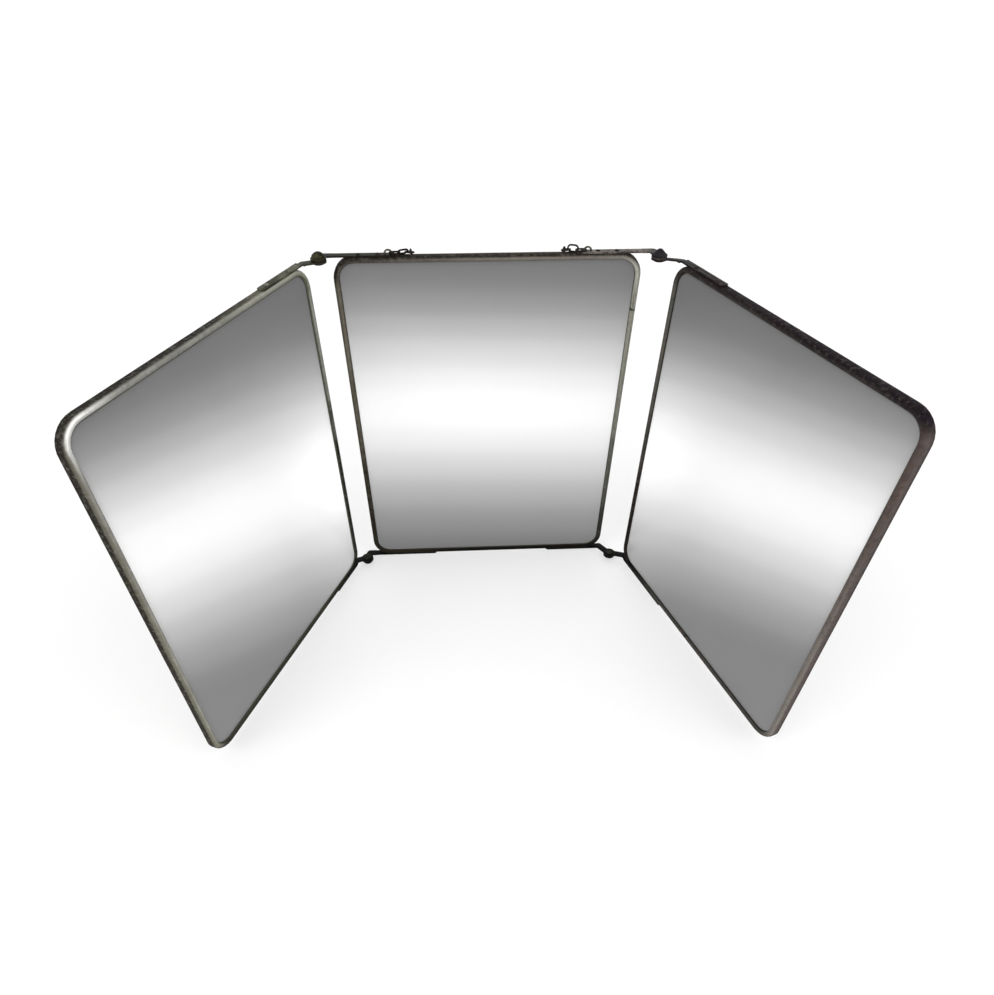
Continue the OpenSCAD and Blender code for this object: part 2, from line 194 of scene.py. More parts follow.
def addCamera():
    down, turn, roll = camera["down"], camera["turn"], camera["roll"]
    ahead = Vector((math.sin(turn) * math.cos(down), math.cos(turn) * math.cos(down), -math.sin(down)))
    side = Vector((math.cos(turn), -math.sin(turn), 0))
    up = side.cross(ahead)
    side, up = math.cos(roll) * side + math.sin(roll) * up, math.cos(roll) * up - math.sin(roll) * side
    wide, high = camera["image"]
    data = bpy.data.cameras.new("photoCamera")
    data.sensor_width = camera["sensor"]
    data.lens = camera["focalPixels"] * camera["sensor"] / high
    data.shift_x = (wide / 2 - camera["axisPixel"][0]) / high
    data.shift_y = (camera["axisPixel"][1] - high / 2) / high
    data.clip_start = camera["nearest"]
    made = addObject("photoCamera", data)
    turned = Matrix((side, up, -ahead)).transposed().to_4x4()
    made.matrix_world = Matrix.Translation(camera["place"]) @ turned
    bpy.context.scene.camera = made


studio = {
    "floorHeight": -0.1317,
    "floorSize": 40.0,
    # the floor's tone for the light it throws back, then its tone and its own light for the camera
    "floorTone": 0.82,
    "shownTone": 0.50,
    "shownLift": 0.50,
    "skyLevel": 0.60,
    "lamps": [
        # direction that the light comes from, softness in degrees, strength
        ((-0.80, -0.50, 0.95), 30, 0.85),
        ((0.80, -0.50, 0.85), 40, 0.80),
        ((0.00, -1.00, 0.40), 40, 0.75),
        ((0.10, 0.80, 0.90), 40, 0.30),
    ],
}


def shownRays(graph):
    # 1 for rays of the camera and of reflections, 0 for those that carry light to other things
    path = graph.node("ShaderNodeLightPath", output="Is Camera Ray")
    return path.most(path.other("Is Glossy Ray")).most(path.other("Is Transmission Ray"))


def addStudio():
    scene = bpy.context.scene
    scene.view_settings.view_transform = "Standard"
    world = bpy.data.worlds.new("whiteRoom")
    world.use_nodes = True
    world.node_tree.nodes.clear()
    room = Graph(world.node_tree)
    level = studio["skyLevel"] + shownRays(room) * (1 - studio["skyLevel"])
    sky = room.node("ShaderNodeBackground", inputs={"Color": (1, 1, 1, 1), "Strength": level})
    room.node("ShaderNodeOutputWorld", inputs={"Surface": sky})
    scene.world = world

    bpy.ops.mesh.primitive_plane_add(size=studio["floorSize"], location=(0, 0, studio["floorHeight"]))
    floor = bpy.context.object
    floor.name = "floor"
    paper, page = newFinish("whitePaper")
    tone, shown = studio["floorTone"], studio["shownTone"]
    matte = page.node("ShaderNodeBsdfDiffuse", inputs={"Color": (tone, tone, tone, 1)})
    pale = page.node("ShaderNodeBsdfDiffuse", inputs={"Color": (shown, shown, shown, 1)})
    lift = page.node("ShaderNodeEmission", inputs={"Strength": studio["shownLift"]})
    pale = page.node("ShaderNodeAddShader", inputs={0: pale, 1: lift})
    skin = page.node("ShaderNodeMixShader", inputs={0: shownRays(page), 1: matte, 2: pale})
    page.node("ShaderNodeOutputMaterial", inputs={"Surface": skin})
    floor.data.materials.append(paper)

    for number, (origin, softness, strength) in enumerate(studio["lamps"]):
        data = bpy.data.lights.new(f"softLamp{number + 1}", "SUN")
        data.angle = math.radians(softness)
        data.energy = strength
        lamp = addObject(data.name, data)
        lamp.location = origin
        lamp.rotation_euler = (-Vector(origin)).to_track_quat("-Z", "Y").to_euler()


addCamera()
addStudio()
print("camera, floor and lamps placed")


# Panels and where they stand

panel = {
    "width": 196 * mm,
    "height": 252 * mm,
    "corner": 14 * mm,
    "bead": 3.9 * mm,
    "sheet": 0.6 * mm,
    "hem": 3.2 * mm,
    "depth": 6.2 * mm,
}
wings = {
    # side of the centre panel, angle folded, and how far outside and in front of it the pin stands
    "centre": {"side": 0, "fold": 0.0, "out": 0.0, "forward": 0.0},
    "left": {"side": -1, "fold": math.radians(67.7), "out": 6.4 * mm, "forward": 3.9 * mm},
    "right": {"side": 1, "fold": math.radians(-71.8), "out": 7.6 * mm, "forward": 7.4 * mm},
}


def pivotOf(wing):
    # the hinge line of a wing, in the centre panel's plan
    place = wings[wing]
    if place["side"] == 0:
        return Vector((0, 0, 0))
    across = place["side"] * (panel["width"] / 2 + place["out"])
    return Vector((across, -panel["depth"] - place["forward"], 0))


def innerEdge(wing):
    # the hinge side of a panel's front, and the direction across the panel from there
    place = wings[wing]
    if place["side"] == 0:
        return Vector((-panel["width"] / 2, -panel["depth"], 0)), Vector((1, 0, 0))
    turned = Matrix.Rotation(place["fold"], 3, "Z")
    start = pivotOf(wing) + turned @ Vector((-place["side"] * place["out"], place["forward"], 0))
    return start, turned @ Vector((place["side"], 0, 0))


# Finishes

def closeFinish(graph, sockets):
    skin = graph.node("ShaderNodeBsdfPrincipled", inputs=sockets)
    graph.node("ShaderNodeOutputMaterial", inputs={"Surface": skin})


def mixColours(graph, share, first, second):
    return graph.node("ShaderNodeMix", {"data_type": "RGBA"}, {0: share, 6: first, 7: second}, 2)


def cloud(graph, place, scale, detail, rough, warp=0.0):
    return graph.node("ShaderNodeTexNoise", inputs={
        "Vector": place, "Scale": scale, "Detail": detail, "Roughness": rough, "Distortion": warp})


def bumped(graph, strength, reach, height):
    return graph.node("ShaderNodeBump", inputs={
        "Strength": strength, "Distance": reach, "Height": height})


def byPlace(graph, wing):
    # the place itself, how far across the panel it is from the hinge side, which is the left one on the
    # centre panel, and how high, both from 0 to 1
    start, across = innerEdge(wing)
    place = graph.node("ShaderNodeTexCoord", output="Object")
    x = graph.node("ShaderNodeSeparateXYZ", inputs={0: place})
    y, z = x.other("Y"), x.other("Z")
    run = ((x - start.x) * across.x + (y - start.y) * across.y) / panel["width"]
    return place, run, z / panel["height"] + 0.5


paintedReflection = {
    # height over the middle of the painted reflection band in mm, and the grey there
    "levels": [(-150, 124), (-122, 140), (-89, 170), (-63, 200), (-38, 229), (-16, 249), (1, 255),
               (18, 248), (36, 228), (56, 199), (72, 168), (92, 134), (116, 116)],
    "white": 0.98,
    # how far the part of the painted reflection that is over white glows on its own, as white can't
    # reflect more: a painted glow
    "lift": 0.8,
    # how much of the panel counts as near its hinge
    "hingeSide": (0.0, 0.5),
    "roughness": 0.15,
    "gloss": 0.22,
    # start is the height of the painted reflection band's middle at the hinge side in mm, slope its
    # climb for each mm from there; spread is its width as a factor, taper what each mm adds to that;
    # dip lowers the band near the hinge; then comes a factor on the tone and what the foot, the hinge
    # side and both together add to it, which is painted light where the lamps leave these parts in
    # shade
    "centre": {"start": 17.0, "slope": -0.036, "spread": 1.0, "taper": 0.0, "dip": 0,
               "paintedLift": (0.95, 0.03, 0.0, 0.0)},
    "left": {"start": -31.0, "slope": 0.39, "spread": 1.2, "taper": -0.0021, "dip": 6.0,
             "paintedLift": (0.98, 0.16, 0.12, 0.36)},
    "right": {"start": -16.5, "slope": 0.367, "spread": 1.1, "taper": -0.0019, "dip": 5.0,
              "paintedLift": (0.98, 0.17, 0.07, 0.26)},
}


def glassWithPaintedReflection(wing):
    # a painted reflection: the soft light band of the silvering, painted across the panel and up it
    look = paintedReflection[wing]
    made, graph = newFinish(wing + "SilveredGlass")
    run, rise = byPlace(graph, wing)[1:]
    near, foot = 1 - run.fade(*paintedReflection["hingeSide"]), 1 - rise
    plain, atFoot, atHinge, atBoth = look["paintedLift"]
    # painted light: the tone is raised at the foot and on the hinge side, where the lamps leave shade
    paintedLift = plain + foot * atFoot + near * atHinge + foot * near * atBoth
    run, rise = run * (panel["width"] / mm), (rise - 0.5) * (panel["height"] / mm)
    rise = rise - (run * look["slope"] + look["start"] - near * look["dip"])
    rise = rise / (run * look["taper"] + look["spread"])
    low, high = paintedReflection["levels"][0][0], paintedReflection["levels"][-1][0]
    stops = [((at - low) / (high - low), linear(level)) for at, level in paintedReflection["levels"]]
    tone = graph.node("ShaderNodeValToRGB", {"stops": stops}, {0: (rise - low) / (high - low)})
    tone.socket.node.color_ramp.interpolation = "CARDINAL"
    tone = graph.vector("SCALE", tone, paintedLift)
    # painted glow: the part of the tone over white is given as emission, so the band's peak shines on
    # its own
    white = (paintedReflection["white"],) * 3
    closeFinish(graph, {
        "Base Color": graph.vector("MINIMUM", tone, white),
        "Emission Color": graph.vector("MAXIMUM", graph.vector("SUBTRACT", tone, white), (0, 0, 0)),
        "Emission Strength": paintedReflection["lift"],
        "Metallic": 0.0,
        "Roughness": paintedReflection["roughness"],
        "Specular IOR Level": paintedReflection["gloss"],
    })
    return made


metals = {
    # colours from dark to worn, then shares of wear and of rust; the darkening round a hinge has the
    # wing whose hinge it sits round, and its share
    "oliveStrap": {"dark": (44, 43, 34), "body": (88, 87, 72), "worn": (166, 164, 150),
                   "rustTone": (92, 78, 52), "wear": 0.40, "rust": 0.20, "darkNearHinge": ("left", 0.55)},
    "brownStrap": {"dark": (22, 20, 16), "body": (35, 32, 26), "worn": (86, 81, 68),
                   "rustTone": (72, 54, 50), "wear": 0.22, "rust": 0.35},
    "greyStrap": {"dark": (46, 42, 42), "body": (116, 109, 103), "worn": (162, 156, 150),
                  "rustTone": (82, 62, 58), "wear": 0.35, "rust": 0.30, "darkNearHinge": ("right", 0.80)},
    # painted shade: the straps and knobs under the panels get this near-black finish, darker than those
    # on top
    "blackStrap": {"dark": (8, 7, 7), "body": (18, 16, 16), "worn": (96, 90, 86),
                   "rustTone": (48, 36, 34), "wear": 0.30, "rust": 0.20},
    "umberStrap": {"dark": (20, 15, 16), "body": (40, 31, 31), "worn": (150, 142, 136),
                   "rustTone": (60, 38, 38), "wear": 0.40, "rust": 0.30},
    "rivet": {"dark": (60, 57, 48), "body": (132, 129, 118), "worn": (214, 212, 204),
              "rustTone": (90, 66, 44), "wear": 0.6, "rust": 0.2},
    "darkRivet": {"dark": (20, 18, 18), "body": (48, 44, 43), "worn": (150, 146, 138),
                  "rustTone": (60, 46, 40), "wear": 0.35, "rust": 0.2},
    "chain": {"dark": (22, 20, 18), "body": (50, 46, 42), "worn": (128, 123, 114),
              "rustTone": (74, 52, 46), "wear": 0.35, "rust": 0.35},
    "staple": {"dark": (48, 45, 38), "body": (104, 100, 90), "worn": (214, 212, 202),
               "rustTone": (84, 62, 44), "wear": 0.65, "rust": 0.2},
    "pin": {"dark": (22, 21, 18), "body": (48, 46, 40), "worn": (120, 117, 104),
            "rustTone": (64, 48, 34), "wear": 0.35, "rust": 0.2},
    "roundKnob": {"dark": (20, 19, 12), "body": (50, 49, 34), "worn": (106, 104, 78),
                  "rustTone": (58, 48, 32), "wear": 0.45, "rust": 0.15},
    "acornKnob": {"dark": (26, 24, 27), "body": (52, 49, 53), "worn": (92, 88, 92),
                  "rustTone": (60, 48, 44), "wear": 0.40, "rust": 0.10},
    "backPlate": {"dark": (98, 96, 88), "body": (119, 117, 109), "worn": (150, 149, 141),
                  "rustTone": (104, 74, 48), "wear": 0.35, "rust": 0.35},
}
metalAge = {
    # scale, detail, roughness and warp of each noise
    "patches": (70, 5, 0.6),
    "mottle": (420, 4, 0.6),
    "grain": (2600, 2, 0.5),
    "spots": (190, 6, 0.7, 0.4),
    # where each mark begins and is full: on the noises, and round a hinge's axis in mm
    "tarnish": (0.40, 0.62),
    "pits": (0.30, 0.36),
    "hinge": (9, 18),
    # shares of rust and of pits, and how ragged the border of the darkening round a hinge is, in mm
    "rustShare": 0.85,
    "pitShare": 0.35,
    "ragged": 6,
    "bump": (0.5, 0.4 * mm),
    "gloss": 0.05,
    "firstSeed": 0.13,
    "seedStep": 0.29,
}


def agedMetal(name, seed):
    look, age = metals[name], metalAge
    dark, body, bright, rusty = (shade(*look[key]) for key in ("dark", "body", "worn", "rustTone"))
    made, graph = newFinish(name + "Metal")
    corner = graph.node("ShaderNodeTexCoord", output="Object")
    place = graph.node("ShaderNodeMapping", inputs={
        "Vector": corner, "Location": (seed, 0.37 * seed, 0.61 * seed)})
    patches, mottle, grain, spots = (
        cloud(graph, place, *age[key]) for key in ("patches", "mottle", "grain", "spots"))
    tarnish = (patches * 0.65 + mottle * 0.35).fade(*age["tarnish"])
    tone = mixColours(graph, tarnish, dark, body)
    worn = (mottle * 0.55 + grain * 0.25 + patches * 0.2).fade(0.62 - 0.14 * look["wear"], 0.70)
    tone = mixColours(graph, worn * look["wear"], tone, bright)
    rust = (spots * 0.7 + grain * 0.3).fade(0.66 - 0.2 * look["rust"], 0.74 - 0.16 * look["rust"])
    tone = mixColours(graph, rust * age["rustShare"], tone, rusty)
    tone = mixColours(graph, (1 - grain.fade(*age["pits"])) * age["pitShare"], tone, dark)
    shine = 0.22 + worn * 0.6 - rust * 0.3
    # the tone turns darker and less metallic round a hinge's axis
    if "darkNearHinge" in look:
        wing, share = look["darkNearHinge"]
        hinge = pivotOf(wing)
        x = graph.node("ShaderNodeSeparateXYZ", inputs={0: corner})
        away = (((x - hinge.x) ** 2.0 + (x.other("Y") - hinge.y) ** 2.0) ** 0.5) / mm
        darkNearHinge = (1 - (away + patches * age["ragged"]).fade(*age["hinge"])) * share
        tone = mixColours(graph, darkNearHinge, tone, dark)
        shine = shine * (1 - darkNearHinge)
    closeFinish(graph, {
        "Base Color": tone,
        "Metallic": shine.clamped(),
        "Roughness": (0.44 + rust * 0.3 - worn * 0.12 + mottle * 0.1).clamped(),
        "Specular IOR Level": age["gloss"],
        "Normal": bumped(graph, *age["bump"], mottle * 0.5 + grain * 0.25 + rust * 0.35),
    })
    return made


frameTonesWithPaintedLight = {
    # the hinge side and the outer side, low and high; the top side near the hinge and far from it; the
    # bottom side; the crest, lighter by wear and a painted highlight, and its painted glint at the far
    # top corner; the outer wall, then at the top side near the hinge and beyond, and towards its back;
    # the line at the glass; rust. The side tones are patina with painted light and shade in them,
    # lighter or darker as light falls on each side; the hinge side low, the bottom side, the wall's
    # back and the line at the glass are painted shade
    "left": {"innerLow": (15, 14, 12), "innerHigh": (92, 94, 82), "outerLow": (116, 115, 99),
             "outerHigh": (108, 105, 94), "topNear": (146, 146, 126), "topFar": (102, 101, 94),
             "bottom": (54, 52, 45), "crest": (182, 181, 174), "paintedGlintTone": (255, 254, 250),
             "wall": (38, 35, 29), "wallNear": (94, 92, 80), "wallTop": (40, 37, 32),
             "backShadeAndMottle": (20, 18, 14), "line": (78, 80, 68), "rust": (110, 92, 58)},
    "centre": {"innerLow": (34, 31, 23), "innerHigh": (88, 82, 70), "outerLow": (30, 30, 27),
               "outerHigh": (160, 161, 149), "topNear": (27, 24, 21), "topFar": (118, 112, 105),
               "bottom": (10, 9, 9), "crest": (122, 117, 108), "paintedGlintTone": (204, 201, 192),
               "wall": (30, 28, 24), "wallNear": (34, 30, 25), "wallTop": (38, 34, 29),
               "backShadeAndMottle": (34, 30, 25), "line": (66, 63, 56), "rust": (80, 58, 54)},
    "right": {"innerLow": (12, 11, 9), "innerHigh": (88, 89, 82), "outerLow": (132, 127, 121),
              "outerHigh": (82, 71, 67), "topNear": (38, 33, 32), "topFar": (26, 22, 25),
              "bottom": (70, 68, 64), "crest": (92, 86, 80), "paintedGlintTone": (78, 70, 70),
              "wall": (84, 76, 73), "wallNear": (26, 21, 24), "wallTop": (20, 15, 22),
              "backShadeAndMottle": (34, 25, 30), "line": (38, 36, 33), "rust": (122, 94, 86)},
}
frameWearAndPaintedLight = {
    # shares of the crest's wear with its painted highlight, of its painted glint, of dark streaks, of
    # mottle and of rust speckle; keep is how much of the wear and painted highlight shows low on the
    # hinge side and on the outer side; the hinge side stays dark, as painted shade, up to hingeDark; at
    # the top side crestOut moves the crest's painted highlight outward, to where light falls, and
    # wallIn the wall inward, in mm
    "left": {"wear": 0.62, "glint": 0.35, "streak": 0.35, "mottle": 0.12, "speckle": 0.26,
             "keep": (0.05, 1.0), "hingeDark": 0.36, "crestOut": 1.2, "wallIn": 0.0},
    "centre": {"wear": 0.52, "glint": 0.5, "streak": 0.52, "mottle": 0.20, "speckle": 0.28,
               "keep": (0.0, 0.1), "hingeDark": 0.0, "crestOut": -0.9, "wallIn": 1.6},
    "right": {"wear": 0.35, "glint": 0.0, "streak": 0.45, "mottle": 0.28, "speckle": 0.62,
              "keep": (0.0, 1.0), "hingeDark": 0.0, "crestOut": 0.0, "wallIn": 0.0},
}
frameZones = {
    # where each zone begins and is full, across from the hinge side or up, both from 0 to 1
    "top": (0.945, 0.99),
    "bottom": (0.012, 0.05),
    "climb": (0.05, 0.95),
    "hingeCorner": (0.0, 0.2),
    "topFar": (-0.05, 0.65),
    "wallFar": (0.24, 0.56),
    "outside": (0.4, 0.6),
    "bottomFar": (0.15, 0.40),
    "glintHigh": (0.88, 0.97),
    "glintFrom": 0.7,
    # the same round the section, in mm from the edge at the glass
    "beadIn": (0.35, 0.75),
    "beadOut": (4.6, 6.2),
    "crestIn": (0.9, 2.1),
    "crestOut": (2.8, 4.6),
    "back": (6.8, 9.8),
    "line": (0.4, 1.6),
}
frameAgeAndPaintedShade = {
    # scale, detail, roughness and warp of each noise
    "patches": (38, 4, 0.55),
    "grain": (1500, 3, 0.6),
    "mottle": (400, 4, 0.65),
    "spots": (330, 6, 0.72, 0.3),
    "stains": (24, 2, 0.5),
    # streaks run along the sides, so they change round the section and slowly with the place
    "streak": {"Scale": 45, "Detail": 5.0, "Roughness": 0.6},
    "streakRound": 0.055,
    # where each mark begins and is full on its noise
    "worn": (0.36, 0.60),
    "darkStreak": (0.50, 0.66),
    "pale": (0.50, 0.64),
    "deep": (0.36, 0.48),
    "rust": (0.53, 0.63),
    "rustArea": (0.60, 0.92),
    "bright": (0.62, 0.72),
    # shares of the bright grain, of the line at the glass and of the wall's back, the last two being
    # painted shade
    "brightShare": 0.22,
    "lineShare": 0.85,
    "backShare": 0.6,
    "bump": (0.3, 0.3 * mm),
    "gloss": 0.03,
    "seedStep": 1.7,
}


def frameMetal(wing, seed):
    tones = {name: shade(*tone) for name, tone in frameTonesWithPaintedLight[wing].items()}
    wear, zones, age = frameWearAndPaintedLight[wing], frameZones, frameAgeAndPaintedShade
    made, graph = newFinish(wing + "FrameMetal")
    corner, run, rise = byPlace(graph, wing)
    place = graph.node("ShaderNodeMapping", inputs={
        "Vector": corner, "Location": (seed, 0.7 * seed, 0.3 * seed)})
    girth = graph.node("ShaderNodeAttribute", {"attribute_name": "girth"}, output="Fac")
    patches, grain, mottle, spots, stains = (
        cloud(graph, place, *age[key]) for key in ("patches", "grain", "mottle", "spots", "stains"))
    streak = graph.node("ShaderNodeTexNoise", {"noise_dimensions": "4D"}, {
        "Vector": place, "W": girth * age["streakRound"], **age["streak"]})

    # the tone of each side, with ragged borders between them: patina together with painted light and
    # shade
    drift = (patches - 0.5) * 0.5
    hingeCorner = 1 - run.fade(*zones["hingeCorner"])
    top = (rise + drift * 0.1 + hingeCorner * 0.035).fade(*zones["top"])
    bottom = 1 - rise.fade(*zones["bottom"])
    up = (rise + drift).fade(*zones["climb"])
    across = run + drift * 0.4
    outside = run.fade(*zones["outside"])
    # painted shade: the hinge side turns dark low down, between the panels
    hingeUp = up.fade(wear["hingeDark"], 1.0)
    inner = mixColours(graph, hingeUp, tones["innerLow"], tones["innerHigh"])
    outer = mixColours(graph, up, tones["outerLow"], tones["outerHigh"])
    sides = mixColours(graph, outside, inner, outer)
    # painted shade: the bottom side is near black
    lower = mixColours(graph, run.fade(*zones["bottomFar"]), tones["innerLow"], tones["bottom"])
    sides = mixColours(graph, bottom, sides, lower)
    upper = mixColours(graph, across.fade(*zones["topFar"]), tones["topNear"], tones["topFar"])
    tone = mixColours(graph, top, sides, upper)

    # the wall outside the bead, with painted shade darkening it towards its back
    bead = girth.fade(*zones["beadIn"]) * (1 - (girth + top * wear["wallIn"]).fade(*zones["beadOut"]))
    wallFar = across.fade(*zones["wallFar"])
    wall = mixColours(graph, wallFar, tones["wallNear"], tones["wallTop"])
    wall = mixColours(graph, top, tones["wall"], wall)
    back = girth.fade(*zones["back"]) * age["backShare"] * (1 - top * (1 - wallFar))
    wall = mixColours(graph, back, wall, tones["backShadeAndMottle"])
    tone = mixColours(graph, bead, wall, tone)

    # the bead's crest, lighter by wear and by a painted highlight, with a painted glint at the far top
    # corner
    lit = girth - top * wear["crestOut"]
    crest = lit.fade(*zones["crestIn"]) * (1 - lit.fade(*zones["crestOut"]))
    reach = ((run - zones["glintFrom"]) / (1 - zones["glintFrom"])).clamped()
    glint = reach * reach * reach * rise.fade(*zones["glintHigh"])
    shine = (streak * 0.5 + patches * 0.5).fade(*age["worn"]) * 0.7 + 0.3
    hinged, free = wear["keep"]
    kept = hingeUp.most(hinged + outside * (free - hinged))
    shine = (shine * wear["wear"] + glint * wear["glint"]).clamped() * crest * kept * (1 - bottom)
    tone = mixColours(graph, shine, tone, mixColours(graph, glint, tones["crest"], tones["paintedGlintTone"]))

    # dark streaks, mottle, rust, fine grain and the dark line at the glass, which is painted shade
    tone = mixColours(graph, streak.fade(*age["darkStreak"]) * wear["streak"], tone, wall)
    pale = mottle.fade(*age["pale"]) * wear["mottle"] * (1 - bottom)
    tone = mixColours(graph, pale, tone, tones["crest"])
    tone = mixColours(graph, (1 - mottle.fade(*age["deep"])) * wear["mottle"], tone, tones["backShadeAndMottle"])
    rust = (spots * 0.75 + grain * 0.25).fade(*age["rust"]) * (stains * 1.6).fade(*age["rustArea"])
    rust = rust * wear["speckle"] * (1 - top * 0.6)
    tone = mixColours(graph, rust, tone, tones["rust"])
    tone = mixColours(graph, grain.fade(*age["bright"]) * age["brightShare"], tone, tones["crest"])
    tone = mixColours(graph, (1 - lit.fade(*zones["line"])) * age["lineShare"], tone, tones["line"])
    closeFinish(graph, {
        "Base Color": tone,
        "Metallic": (bead * 0.3 + shine * 0.55 - rust * 0.4).clamped(),
        "Roughness": (0.52 - shine * 0.24 + rust * 0.25 + grain * 0.08).clamped(),
        "Specular IOR Level": age["gloss"],
        "Normal": bumped(graph, *age["bump"], grain * 0.2 + streak * 0.45 + rust * 0.5),
    })
    return made


card = {
    "base": (134, 116, 84),
    "stained": (110, 92, 64),
    "fibre": (160, 145, 112),
    # scale, detail and roughness of each noise
    "fibres": (900, 5, 0.7),
    "stains": (30, 3, 0.5),
    # where stains and pale fibres begin and are full on their noise
    "stainEdge": (0.35, 0.7),
    "fibreEdge": (0.4, 0.75),
    "fibreShare": 0.4,
    "bump": (0.4, 0.2 * mm),
    "roughness": 0.9,
}


def backingCard():
    made, graph = newFinish("backingCard")
    place = graph.node("ShaderNodeTexCoord", output="Object")
    fibres, stains = (cloud(graph, place, *card[key]) for key in ("fibres", "stains"))
    base, stained, fibre = (shade(*card[key]) for key in ("base", "stained", "fibre"))
    tone = mixColours(graph, stains.fade(*card["stainEdge"]), base, stained)
    tone = mixColours(graph, fibres.fade(*card["fibreEdge"]) * card["fibreShare"], tone, fibre)
    closeFinish(graph, {
        "Base Color": tone,
        "Roughness": card["roughness"],
        "Normal": bumped(graph, *card["bump"], fibres),
    })
    return made


finishes = {name: agedMetal(name, metalAge["firstSeed"] + metalAge["seedStep"] * number)
            for number, name in enumerate(metals)}
finishes["card"] = backingCard()
for number, wing in enumerate(wings):
    finishes[wing + "Frame"] = frameMetal(wing, frameAgeAndPaintedShade["seedStep"] * number)
    finishes[wing + "Mirror"] = glassWithPaintedReflection(wing)
print("finishes mixed:", len(finishes))


# Geometry trees

def newTree(name, sizes):
    tree = bpy.data.node_groups.new(name, "GeometryNodeTree")
    tree.interface.new_socket("Geometry", in_out="OUTPUT", socket_type="NodeSocketGeometry")
    for label, kind in sizes:
        tree.interface.new_socket(label, in_out="INPUT", socket_type="NodeSocket" + kind)
    graph = Graph(tree)
    return graph, graph.node("NodeGroupInput")


def meshOf(sizes, name):
    # the mesh of an object that a tree is given
    given = {"Object": sizes.other(name)}
    return sizes.graph.node("GeometryNodeObjectInfo", inputs=given, output="Geometry")


def shaken(graph, geometry, colour, reach):
    # moves each point by a noise's colour, up to half the reach each way
    offset = graph.vector("SCALE", graph.vector("SUBTRACT", colour, (0.5, 0.5, 0.5)), reach)
    return graph.node("GeometryNodeSetPosition", inputs={"Geometry": geometry, "Offset": offset})


def closeTree(graph, geometry, metal):
    geometry = graph.node("GeometryNodeSetShadeSmooth", inputs={"Geometry": geometry})
    geometry = graph.node("GeometryNodeRealizeInstances", inputs={"Geometry": geometry})
    geometry = graph.node("GeometryNodeSetMaterial", inputs={"Geometry": geometry, "Material": metal})
    graph.node("NodeGroupOutput", inputs={0: geometry})


def grow(name, graph, values):
    # runs a tree on an empty mesh and hands back the plain mesh that it makes
    helper = addObject(name, bpy.data.meshes.new(name))
    modifier = helper.modifiers.new("grow", "NODES")
    modifier.node_group = graph.tree
    for item in graph.tree.interface.items_tree:
        if item.in_out == "INPUT" and item.name in values:
            modifier[item.identifier] = values[item.name]
    seen = helper.evaluated_get(bpy.context.evaluated_depsgraph_get())
    data = bpy.data.meshes.new_from_object(seen)
    data.name = name
    bpy.data.objects.remove(helper)
    return addObject(name, data)


# Bent frames

frameShape = {
    "bendSteps": 14,
    "cornerSteps": 16,
    "stepLength": 3.0 * mm,
    "backBend": 0.9 * mm,
    # shares of the depth at which the wall has a point
    "wallSteps": (0.45, 0.6, 0.72),
    # what the inside of the section has for its distance round it, in mm
    "insideGirth": 20.0,
    "wave": 0.09 * mm,
    "waveScale": 60.0,
    "seedStep": 3.1,
    "seams": {
        # place of a seam on the panel's own face, and its size
        "centre": ((98 * mm, -89.2 * mm, 0), (9 * mm, 0.24 * mm, 20 * mm)),
        "left": ((0, 126 * mm, 0), (0.35 * mm, 9 * mm, 20 * mm)),
        "right": ((0, 126 * mm, 0), (0.35 * mm, 9 * mm, 20 * mm)),
    },
}


def arc(middle, size, first, last, count):
    # points of an arc from its first to its last angle in degrees
    for step in range(count + 1):
        angle = math.radians(first + (last - first) * step / count)
        yield (middle[0] + size * math.cos(angle), middle[1] + size * math.sin(angle))


def beadSection():
    # the bent sheet's outline, and for each point its distance round the outside from the glass's edge
    sheet, hem, depth = panel["sheet"], panel["hem"], panel["depth"]
    radius, bend, lip = panel["bead"] / 2, frameShape["backBend"], sheet / 2
    steps = frameShape["bendSteps"]
    outside = list(arc((radius, radius), radius, 0, -180, steps))
    outside += [(0, depth * share) for share in frameShape["wallSteps"]]
    outside += list(arc((bend, depth - bend), bend, 180, 90, 5))
    outside += list(arc((hem - lip, depth - lip), lip, 90, 0, 3))
    inside = list(arc((hem - lip, depth - lip), lip, -30, -90, 2))
    inside += list(arc((bend, depth - bend), bend - sheet, 90, 180, 4))
    inside += list(arc((radius, radius), radius - sheet, -180, 0, steps))
    girth = [0.0]
    for first, second in zip(outside, outside[1:]):
        girth.append(girth[-1] + math.dist(first, second) / mm)
    girth += [frameShape["insideGirth"]] * len(inside)
    return [(-x, -y) for x, y in outside + inside], girth


def outlineObject(name, points, girth):
    data = bpy.data.meshes.new(name)
    count = len(points)
    data.from_pydata([(x, y, 0) for x, y in points], [(n, (n + 1) % count) for n in range(count)], [])
    data.attributes.new("girth", "FLOAT", "POINT").data.foreach_set("value", girth)
    return addObject(name, data)


